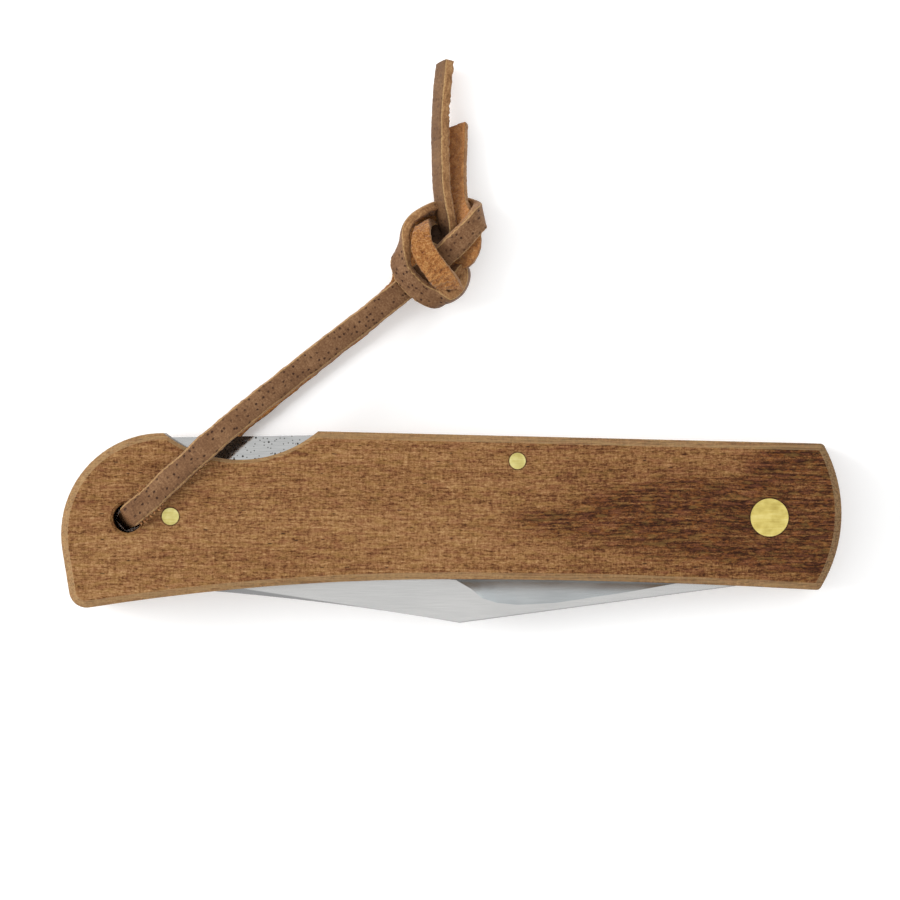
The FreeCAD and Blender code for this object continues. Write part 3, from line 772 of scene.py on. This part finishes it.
# The lock bar's specks: how many per millimetre, their radius and how few of them show;
# left of the strand there are none
BAR_SPECKS = ((1.7, 0.17, 0.45), (0.62, 0.11, 0.4))
SPECK_CORE = 0.5
SPECK_RARITY_STEP = 0.1
SPECK_COLOUR = metal_tint(40, 36, 32)
SPECKS_START = (-36.0, -34.5)

# Its face is flat left of a line beside the strand, and slopes gently right of it
BAR_CROWN_START = 0.6
BAR_CROWN_EASE = 1.0
BAR_CROWN_SLOPE = 0.11
BAR_SCRATCH = 0.002
BAR_COLOURS = [(0.25, metal_tint(189, 190, 189)), (0.75, metal_tint(215, 215, 214))]
BAR_ROUGH = (0.05, 0.11)


def bar_specks(s, x, spread):
    """Small dark specks of two sizes."""
    specks = 0.0
    for pitch, radius, rarity in BAR_SPECKS:
        gap, lot = s.cells(spread, (pitch, pitch, pitch), "2D")
        spots = s.spots(gap, lot, (radius * SPECK_CORE, radius), (rarity, rarity + SPECK_RARITY_STEP))
        specks = s.math("MAXIMUM", spots, specks)
    return s.math("MULTIPLY", specks, s.span(x, *SPECKS_START))


def bar_crown(s, x, y):
    """The height of the bar's face, in millimetres."""
    ahead_x, ahead_y = AHEAD
    beside = s.math(
        "SUBTRACT", s.line(x, ahead_y, -HOLE[0] * ahead_y), s.line(y, ahead_x, -HOLE[1] * ahead_x))
    past = s.add(
        "ShaderNodeMath", {0: s.line(beside, 1.0, -BAR_CROWN_START), 1: 0.0, 2: BAR_CROWN_EASE},
        operation="SMOOTH_MAX")
    return s.math("MULTIPLY", past, BAR_CROWN_SLOPE)


def make_bar_steel():
    """Bright steel with small dark specks and a gentle slope."""
    s = Shader("bar_steel_bright")
    place = s.places()
    x, y, z = s.parts(place)
    scratch = s.noise(place, (0.4, 7.0, 7.0), detail=3.0, roughness=0.6)
    specks = bar_specks(s, x, s.join(x, s.math("ADD", y, z), 0.0))
    colour = s.mix(specks, s.ramp(scratch, BAR_COLOURS), SPECK_COLOUR)
    dips = s.math("MULTIPLY", s.math("SUBTRACT", scratch, specks), BAR_SCRATCH)
    s.bump(s.math("ADD", dips, bar_crown(s, x, y)), 1.0)
    return s.set(colour=colour, metal=1.0, rough=s.span(scratch, *HAZE_LEVELS, *BAR_ROUGH))


# Edges of liners and spacer, by their slopes, and the lanyard hole's wall, by the distance from its axis;
# both are darkened as painted shade
EDGE_SLOPES = (0.2, 0.6)
EDGE_SHADE_SHARE = 0.85
EDGE_SHADE_TINT = metal_tint(110, 109, 108)
HOLE_WALL = (2.1, 2.5)
HOLE_SHADE_COLOUR = tint(20, 17, 15)
PLATE_RELIEF = 0.006


def make_liner_steel():
    """Satin steel plate, ground along its length, with painted shade on its edges and on the lanyard hole's
    wall, which is dark and dull.
    """
    s, colour, rough = marked_metal(
        "liner_steel_satin", marks=((0.3, 6.0, 6.0), 3.0, 0.6), haze=((0.25, 0.4, 0.4), 3.0),
        weights=(0.5, 0.5), colours=[(0.2, metal_tint(150, 148, 145)), (0.8, metal_tint(196, 195, 192))],
        relief=PLATE_RELIEF, rough=(0.3, 0.45))
    # Painted shade on the edges of liners and spacer
    colour = s.mix(s.span(s.slope(), *EDGE_SLOPES, EDGE_SHADE_SHARE, 0.0), colour, EDGE_SHADE_TINT, "MULTIPLY")
    x, y = s.parts(s.places())[:2]
    # Painted shade: the lanyard hole's wall is dark, dull and not metal
    clear_of_hole_shade = s.span(s.distance(s.join(x, y, 0.0), HOLE), *HOLE_WALL)
    colour = s.mix(clear_of_hole_shade, HOLE_SHADE_COLOUR, colour)
    rough = s.math("MAXIMUM", rough, s.span(clear_of_hole_shade, 0.0, 1.0, 1.0, 0.0))
    return s.set(colour=colour, metal=clear_of_hole_shade, gloss=0.1, rough=rough)


def make_spring_steel():
    """Darker tempered steel."""
    s, colour, rough = marked_metal(
        "spring_steel_dark", marks=((0.5, 5.0, 5.0), 3.0, 0.6), haze=((0.35, 0.5, 0.5), 3.0),
        weights=(0.4, 0.7), colours=[(0.2, metal_tint(112, 111, 112)), (0.8, metal_tint(168, 168, 168))],
        relief=PLATE_RELIEF, rough=(0.34, 0.5))
    return s.set(colour=colour, metal=1.0, rough=rough)


BRASS_COLOURS = [
    (0.15, metal_tint(196, 170, 84)), (0.5, metal_tint(226, 206, 118)), (0.85, metal_tint(242, 228, 156))]
SMALL_PINS_END = (15.0, 30.0)
SMALL_PIN_TINT = (0.96, 1.03, 1.25, 1.0)


def make_brass():
    """Filed brass, scratched across its flush heads, paler on the two small pins."""
    s, colour, rough = marked_metal(
        "pin_brass_filed", marks=((0.35, 4.6, 0.35), 3.0, 0.6), haze=((0.9, 0.9, 0.9), 3.0),
        weights=(0.6, 0.6), colours=BRASS_COLOURS, relief=0.01, rough=(0.3, 0.44))
    x = s.parts(s.places())[0]
    colour = s.mix(s.span(x, *SMALL_PINS_END, 1.0, 0.0), colour, SMALL_PIN_TINT, "MULTIPLY")
    return s.set(colour=colour, metal=1.0, rough=rough)


def make_bronze():
    """Bearing bronze, satin."""
    s, colour, rough = marked_metal(
        "washer_bronze_satin", marks=((6.0, 6.0, 6.0), 2.0), haze=((1.5, 1.5, 1.5), 3.0),
        weights=(0.3, 0.7), colours=[(0.2, metal_tint(168, 118, 68)), (0.8, metal_tint(206, 160, 104))],
        relief=PLATE_RELIEF, rough=(0.32, 0.48))
    return s.set(colour=colour, metal=1.0, rough=rough)


# Leather

# Runs where the front lace goes into the knot's middle and comes out of it, where its strand ends,
# and where the rear lace's short tail starts
KNOT_IN = (run_mark(FRONT_SEED, 129.5), run_mark(FRONT_SEED, 131.0))
KNOT_OUT = (run_mark(FRONT_SEED, 137.0), run_mark(FRONT_SEED, 141.5))
STRAND_END = (run_mark(FRONT_SEED, 47.0), run_mark(FRONT_SEED, 55.0))
SHORT_TAIL_START = (run_mark(REAR_SEED, 74.0), run_mark(REAR_SEED, 82.0))

# The grain side: follicles, fainter on the tail, painted shade on the stretch inside the knot, and pale
# corners
GRAIN_COLOURS = [(0.05, tint(86, 56, 36)), (0.5, tint(128, 92, 63)), (0.95, tint(168, 130, 94))]
GRAIN_RELIEF = 0.07
GRAIN_ROUGH_LEVELS = (0.2, 0.8)
GRAIN_ROUGH = (0.5, 0.68)
FOLLICLE_PITCH = (1.15, 0.95, 0.0)
FOLLICLE_RAGGED = 0.25
FOLLICLE_RADII = (0.09, 0.25)
FOLLICLE_RARITY = (0.05, 0.8)
FOLLICLE_SHARES = (0.9, 0.4)
FOLLICLE_COLOUR = tint(52, 28, 18)
TAIL_TINT = (0.82, 0.83, 0.79, 1.0)
KNOT_SHADE_SHARE = 0.8
KNOT_SHADE_COLOUR = tint(46, 30, 20)
PALE_CORNER_BAND = (1.42, 1.54)
PALE_CORNER_LEVELS = (0.3, 0.6)
PALE_CORNER_SHARES = (0.35, 0.85)
PALE_CORNER_COLOUR = tint(198, 160, 108)

CUT_COLOURS = [(0.05, tint(100, 62, 36)), (0.5, tint(158, 115, 74)), (0.95, tint(204, 162, 112))]
CUT_RELIEF = 0.16

# The flesh side: painted light on the short tail, and painted shade on the underside of the strand
FLESH_COLOURS = [(0.05, tint(104, 48, 14)), (0.5, tint(184, 122, 64)), (0.95, tint(226, 174, 110))]
FLESH_RELIEF = 0.25
SHORT_TAIL_LIGHT_SHARE = 0.3
SHORT_TAIL_LIGHT_COLOUR = tint(226, 160, 104)
UNDERSIDE = (-0.6, -0.5)
UNDERSIDE_SHADE_SHARE = 0.9
UNDERSIDE_SHADE_COLOUR = tint(44, 40, 37)


def lace_places(s):
    """Where a point is on the lace: across it, along it and up through it, in millimetres."""
    return s.add("ShaderNodeAttribute", {}, "Vector", attribute_name="lace")


def make_grain_leather():
    """The lace's smooth side: mid brown, creased, with small dark follicles, pale corners and painted shade
    inside the knot.
    """
    s = Shader("thong_leather_grain")
    place = lace_places(s)
    side, run = s.parts(place)[:2]
    cloud = s.noise(place, (0.5, 0.3, 0.0), detail=3.0)
    fine = s.noise(place, (4.5, 3.4, 0.0), detail=3.0, roughness=0.65)
    crease = s.noise(place, (0.8, 2.8, 0.0))
    gap, lot = s.cells(place, FOLLICLE_PITCH, "2D")
    dots = s.spots(s.sum(gap, (fine, FOLLICLE_RAGGED)), lot, FOLLICLE_RADII, FOLLICLE_RARITY)
    colour = s.ramp(s.sum(MIDDLE, (cloud, 0.7), (fine, 1.1), (crease, 0.5)), GRAIN_COLOURS)
    follicles = s.math("MULTIPLY", dots, s.span(run, *KNOT_OUT, *FOLLICLE_SHARES))
    colour = s.mix(follicles, colour, FOLLICLE_COLOUR)
    colour = s.mix(s.span(run, *KNOT_OUT), colour, TAIL_TINT, "MULTIPLY")
    # Painted shade on the stretch of lace inside the knot
    inside = s.math("MULTIPLY", s.span(run, *KNOT_IN), s.span(run, *KNOT_OUT, 1.0, 0.0))
    colour = s.mix(s.math("MULTIPLY", inside, KNOT_SHADE_SHARE), colour, KNOT_SHADE_COLOUR)
    corner = s.span(s.math("ABSOLUTE", side), *PALE_CORNER_BAND)
    pale_corner = s.math("MULTIPLY", corner, s.span(fine, *PALE_CORNER_LEVELS, *PALE_CORNER_SHARES))
    colour = s.mix(pale_corner, colour, PALE_CORNER_COLOUR)
    relief = s.math("SUBTRACT", s.sum(MIDDLE, (fine, 0.5), (crease, 0.5)), dots)
    s.bump(relief, GRAIN_RELIEF, strength=0.8)
    return s.set(colour=colour, rough=s.span(fine, *GRAIN_ROUGH_LEVELS, *GRAIN_ROUGH), gloss=0.12)


def make_cut_leather():
    """The lace's cut edges: fibres that run along it, dark between them."""
    s = Shader("thong_leather_cut")
    place = lace_places(s)
    lines = s.noise(place, (0.0, 0.7, 3.6), detail=3.0, roughness=0.6)
    fibre = s.noise(s.places(), (3.4, 3.4, 3.4), detail=3.0, roughness=0.65)
    cloud = s.noise(place, (0.4, 0.5, 0.0))
    colour = s.ramp(s.sum(MIDDLE, (lines, 1.0), (fibre, 1.1), (cloud, 0.5)), CUT_COLOURS)
    s.bump(s.sum(MIDDLE, (lines, 0.5), (fibre, 0.5)), CUT_RELIEF, strength=0.9)
    return s.set(colour=colour, rough=0.85, gloss=0.15, sheen=0.1)


def make_flesh_leather():
    """The lace's inner side: orange tan suede, with painted shade under the strand and painted light on the
    short tail.
    """
    s = Shader("thong_leather_flesh")
    spot = s.places()
    fuzz = s.noise(spot, (4.8, 4.8, 4.8), detail=4.0, roughness=0.75)
    nap = s.noise(spot, (1.5, 1.5, 1.5), detail=3.0, roughness=0.65)
    colour = s.ramp(s.sum(MIDDLE, (fuzz, 1.9), (nap, 1.1)), FLESH_COLOURS)
    run, depth = s.parts(lace_places(s))[1:]
    # Painted light: the short tail is lightened
    colour = s.mix(s.span(run, *SHORT_TAIL_START, 0.0, SHORT_TAIL_LIGHT_SHARE), colour, SHORT_TAIL_LIGHT_COLOUR)
    # Painted shade on the strand's underside
    strand = s.span(run, *STRAND_END, UNDERSIDE_SHADE_SHARE, 0.0)
    underside_shade = s.math("MULTIPLY", strand, s.span(depth, *UNDERSIDE, 1.0, 0.0))
    colour = s.mix(underside_shade, colour, UNDERSIDE_SHADE_COLOUR)
    s.bump(s.sum(MIDDLE, (fuzz, 0.8), (nap, 0.6)), FLESH_RELIEF)
    return s.set(colour=colour, rough=0.95, gloss=0.1, sheen=0.2)


# Each piece gets its finish

FINISHES = {
    "scale_wood": make_wood(),
    "liner_steel": make_liner_steel(),
    "blade_steel": make_blade_steel(),
    "bar_steel": make_bar_steel(),
    "spring_steel": make_spring_steel(),
    "pin_brass": make_brass(),
    "washer_bronze": make_bronze(),
}
LEATHERS = (make_grain_leather(), make_cut_leather(), make_flesh_leather())


def dress_nodes():
    """The finish of each rigid piece, by its material slot."""
    for row in frame["record"]["subparts"]:
        finish = FINISHES.get(row["material_slot"])
        if finish:
            holder = frame["nodes"][row["node"]]
            for place in holder.material_slots:
                place.material = finish
            if not holder.material_slots:
                holder.data.materials.append(finish)


dress_nodes()
for piece in (thong_front, thong_rear):
    for leather in LEATHERS:
        piece.data.materials.append(leather)


# The back spring, cut into short stretches along its length

# How near its points are joined, and how many stretches it is cut into
SPRING_WELD = 0.001
SPRING_STEPS = 40


def make_back_spring():
    """The leaf spring again, cut across into many stretches between the butt and the lock bar."""
    low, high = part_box("back_spring")
    mesh = bmesh.new()
    mesh.from_mesh(frame["nodes"]["back_spring"].data)
    bmesh.ops.remove_doubles(mesh, verts=mesh.verts, dist=SPRING_WELD * MM)
    for step in range(1, SPRING_STEPS):
        place = low[0] + (high[0] - low[0]) * step / SPRING_STEPS
        everything = mesh.verts[:] + mesh.edges[:] + mesh.faces[:]
        bmesh.ops.bisect_plane(mesh, geom=everything, plane_co=(place, 0, 0), plane_no=(1, 0, 0))
    for face in mesh.faces:
        face.smooth = False
    data = bpy.data.meshes.new("back_spring_leaf")
    mesh.to_mesh(data)
    mesh.free()
    data.materials.clear()
    data.materials.append(FINISHES["spring_steel"])
    leaf = add_object("back_spring_leaf", data)
    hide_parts("back_spring")
    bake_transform(leaf)


make_back_spring()


# Floor, world and light

# The floor's slope, its height under the middle, its half width in metres, and its glow round the part, which
# is painted light that lifts the knife's shadow and is left out under the lanyard hole so that the hole stays
# dark
FLOOR_SLOPE = 0.01666
FLOOR_AT_MIDDLE = -7.83
FLOOR_HALF = 4.0
FLOOR_PAINTED_GLOW = 0.2
FLOOR_GLOW_START = (4.0, 10.0)
FLOOR_COLOURS = [(0.3, metal_tint(245, 245, 245)), (0.7, metal_tint(247, 247, 247))]


def make_floor():
    """A pale floor that the thong's fold and the knife's head rest on, glowing faintly away from the hole as
    painted light that lifts the knife's shadow.
    """
    data = bpy.data.meshes.new("floor")
    corners = [(x * FLOOR_HALF, y * FLOOR_HALF) for x, y in ((-1, -1), (1, -1), (1, 1), (-1, 1))]
    data.from_pydata([(x, y, FLOOR_AT_MIDDLE * MM + FLOOR_SLOPE * x) for x, y in corners], [], [(0, 1, 2, 3)])
    s = Shader("floor_pale")
    place = s.places()
    x, y = s.parts(place)[:2]
    colour = s.ramp(s.noise(place, (0.05, 0.05, 0.05)), FLOOR_COLOURS)
    # Painted light: the floor glows except under the lanyard hole
    glow = s.span(s.distance(s.join(x, y, 0.0), HOLE), *FLOOR_GLOW_START, 0.0, FLOOR_PAINTED_GLOW)
    data.materials.append(s.set(colour=colour, rough=0.9, gloss=0.1, glow=glow, glow_colour=WHITE))
    floor = add_object("floor", data)


make_floor()


# Where the sky is dimmer: the way there, the angles from it at which it is darkest and back to full light,
# and the share of light left
SKY_DIPS = (((0, 0, 1), 3, 40, 0.72), ((0, 0.19, 1), 3, 9, 0.6))
WORLD_LIGHT = 1.12


def make_world():
    """Even soft light from all round, a little weaker straight above and just beyond that."""
    world = bpy.data.worlds.new("studio")
    SCENE.world = world
    world.use_nodes = True
    sky = Nodes(world.node_tree)
    way = sky.add("ShaderNodeTexCoord", {}, "Generated")
    strength = WORLD_LIGHT
    for towards, near, far, share in SKY_DIPS:
        nearness = sky.add(
            "ShaderNodeVectorMath", {0: way, 1: Vector(towards).normalized()}, "Value",
            operation="DOT_PRODUCT")
        low, high = (math.cos(math.radians(angle)) for angle in (far, near))
        strength = sky.math("MULTIPLY", sky.span(nearness, low, high, 1.0, share), strength)
    background = sky.tree.nodes["Background"]
    sky.feed(background.inputs["Color"], WHITE)
    sky.feed(background.inputs["Strength"], strength)


make_world()


# The key light, in metres and watts
KEY_PLACE = (-1.15, 0.25, 0.8)
KEY_TARGET = (0, 0.01, 0)
KEY_SIZE = 0.8
KEY_POWER = 12.5


def make_key_light():
    """A broad soft light from beyond the butt."""
    data = bpy.data.lights.new("key", "AREA")
    data.shape = "DISK"
    data.size = KEY_SIZE
    data.energy = KEY_POWER
    light = add_object("key", data)
    light.location = KEY_PLACE
    light.rotation_euler = (Vector(KEY_TARGET) - Vector(KEY_PLACE)).to_track_quat("-Z", "Y").to_euler()


make_key_light()
SCENE.view_settings.view_transform = "Standard"
